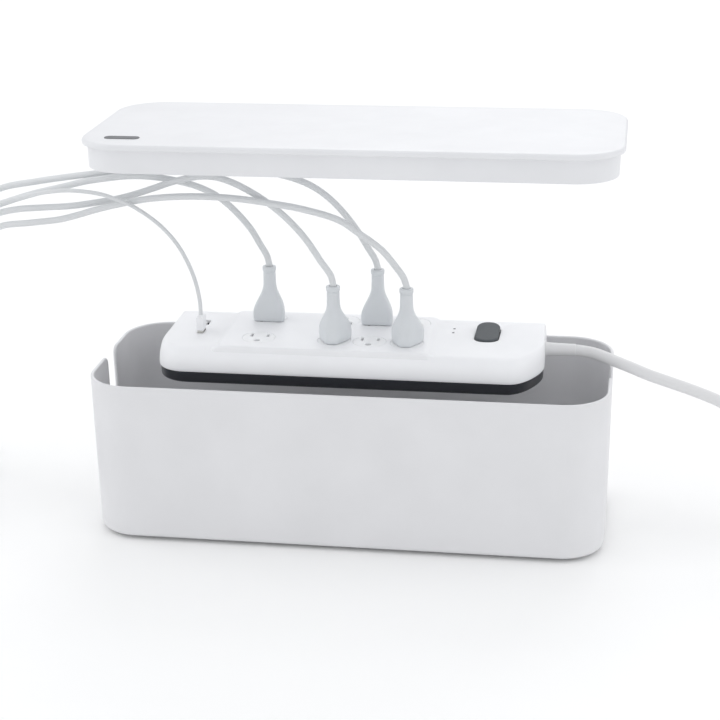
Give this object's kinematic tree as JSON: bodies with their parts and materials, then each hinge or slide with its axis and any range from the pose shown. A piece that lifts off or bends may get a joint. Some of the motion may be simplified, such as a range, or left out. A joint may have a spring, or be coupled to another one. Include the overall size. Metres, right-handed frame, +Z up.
{
  "type": "cable management box",
  "caption": "Lidded cable box open for use, with end slots, a power strip with plugged-in leads and a USB cord, and a lift-off lid.",
  "frame": {"origin": "centre of the box's footprint on the surface that its feet stand on", "axes": "+X along the box towards the mains lead, +Y to the back, +Z up"},
  "size_m": [0.9749, 0.1822, 0.319],
  "materials": {
    "box_plastic": "fine satin moulded plastic, very light grey white",
    "lid_plastic": "fine satin moulded plastic, white",
    "badge_grey": "flat dark grey",
    "foot_rubber": "soft grey rubber",
    "strip_white": "satin white moulded plastic",
    "strip_dark": "dark charcoal moulded plastic",
    "outlet_white": "satin white",
    "port_black": "black moulded plastic",
    "switch_grey": "dark grey moulded plastic",
    "lamp_clear": "frosted lens",
    "copper": "bare contact strip",
    "board": "green circuit board",
    "steel": "plated screw",
    "cord_grey": "smooth light bluish grey cord jacket",
    "lead_white": "smooth white cord jacket"
  },
  "bodies": {
    "tub": {"device_coil_1": "cord_grey", "device_coil_2": "cord_grey", "device_coil_3": "cord_grey", "device_coil_4": "cord_grey", "device_connector_1": "cord_grey", "device_connector_2": "cord_grey", "device_connector_3": "cord_grey", "device_connector_4": "cord_grey", "device_cord_1": "cord_grey", "device_cord_2": "cord_grey", "device_cord_3": "cord_grey", "device_cord_4": "cord_grey", "foot_1": "foot_rubber", "foot_2": "foot_rubber", "foot_3": "foot_rubber", "foot_4": "foot_rubber", "mains_coil": "lead_white", "mains_lead": "lead_white", "mains_plug": "lead_white", "tub": "box_plastic", "usb_coil": "cord_grey", "usb_cord": "cord_grey", "usb_device_connector": "cord_grey"},
    "lid": {"lid": "lid_plastic", "lid_badge": "badge_grey"},
    "strip": {"bus_bar_earth": "copper", "bus_bar_line": "copper", "bus_bar_neutral": "copper", "indicator_lamp_1": "lamp_clear", "indicator_lamp_2": "lamp_clear", "outlet_1": "outlet_white", "outlet_2": "outlet_white", "outlet_3": "outlet_white", "outlet_4": "outlet_white", "outlet_5": "outlet_white", "outlet_6": "outlet_white", "outlet_7": "outlet_white", "outlet_8": "outlet_white", "plug_1": "cord_grey", "plug_2": "cord_grey", "plug_3": "cord_grey", "plug_4": "cord_grey", "strain_relief": "lead_white", "strip_base": "strip_dark", "strip_screw_1": "steel", "strip_screw_2": "steel", "strip_screw_3": "steel", "strip_screw_4": "steel", "strip_top_shell": "strip_white", "surge_board": "board", "usb_plug": "cord_grey", "usb_power_board": "board", "usb_socket_block": "port_black"},
    "rocker": {"rocker_switch": "switch_grey"}
  },
  "joints": [
    {"name": "lid_lift", "type": "slide", "parent": "tub", "child": "lid", "axis": [0.0245, 0.0273, 0.9993], "range_m": [-0.18342, 0]},
    {"name": "strip_lift", "type": "slide", "parent": "tub", "child": "strip", "axis": [0.0245, 0.0273, 0.9993], "range_m": [-0.11769, 0], "deforming": ["device_cord_1", "device_cord_2", "device_cord_3", "device_cord_4", "mains_lead", "usb_cord"]},
    {"name": "rocker_tilt", "type": "hinge", "parent": "strip", "child": "rocker", "pos_m": [0.1038, 0.0172, 0.1478], "axis": [1, 0, 0], "range_deg": [-12, 0]}
  ],
  "couplings": [
    {"joint": "strip_lift", "follows": "lid_lift", "ratio": 0.64157}
  ]
}
